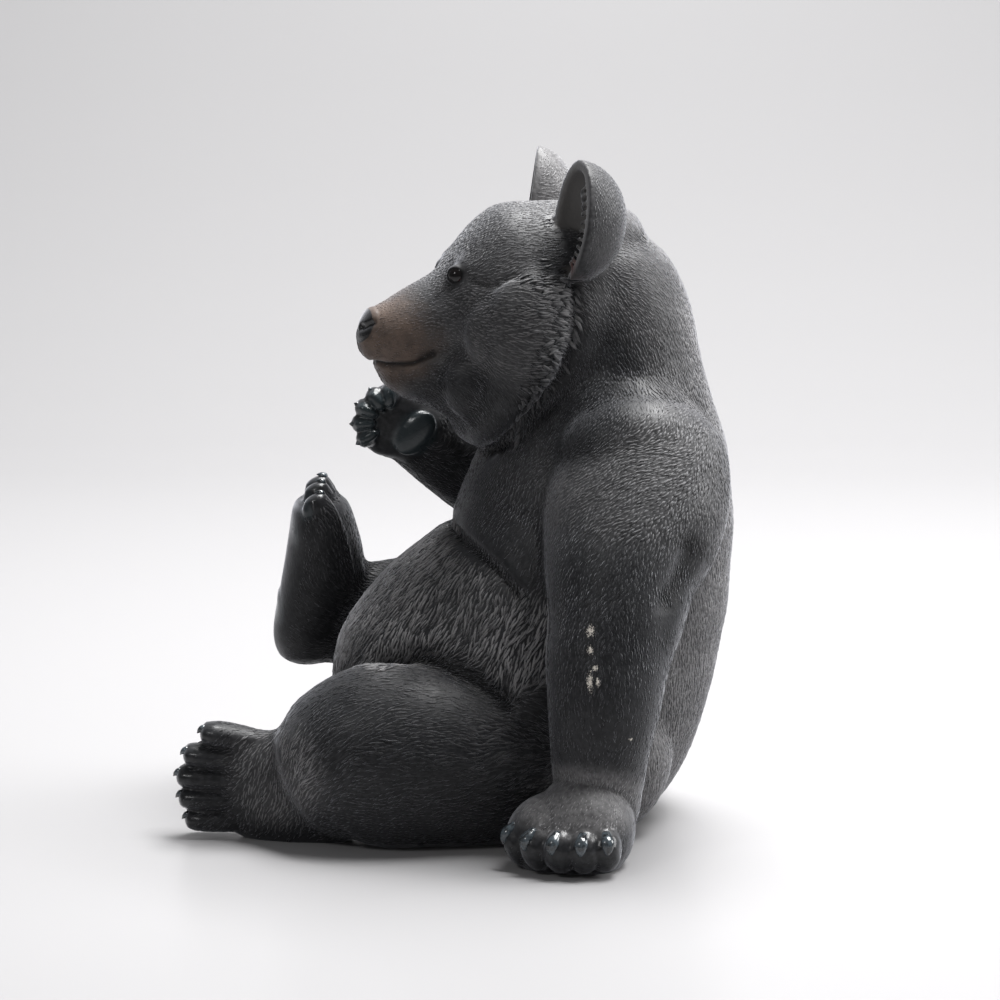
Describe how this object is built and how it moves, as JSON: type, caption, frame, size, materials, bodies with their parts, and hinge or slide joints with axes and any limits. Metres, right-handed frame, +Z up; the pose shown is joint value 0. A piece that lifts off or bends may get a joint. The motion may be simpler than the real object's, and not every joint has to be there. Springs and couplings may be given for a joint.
{
  "type": "bear statue",
  "caption": "Seated bear cub statue that leans on one arm, with a raised foot and hand, cast in resin and carved with short fur; a free-standing ornament for a floor, a garden or a shelf.",
  "frame": {"origin": "on the surface it stands on, under the middle of the statue's bounding box", "axes": "+Z up; the cub faces -X; its left side, with the planted arm, is towards -Y"},
  "size_m": [0.278, 0.24, 0.3323],
  "materials": {
    "painted_resin": "charcoal-black paint on hollow cast resin, carved all over with short fur strokes and dry-brushed pale grey; brown muzzle, gloss on the nose, eyes, claws and pads"
  },
  "bodies": {
    "root": {"bear_statue": "painted_resin"}
  },
  "joints": []
}
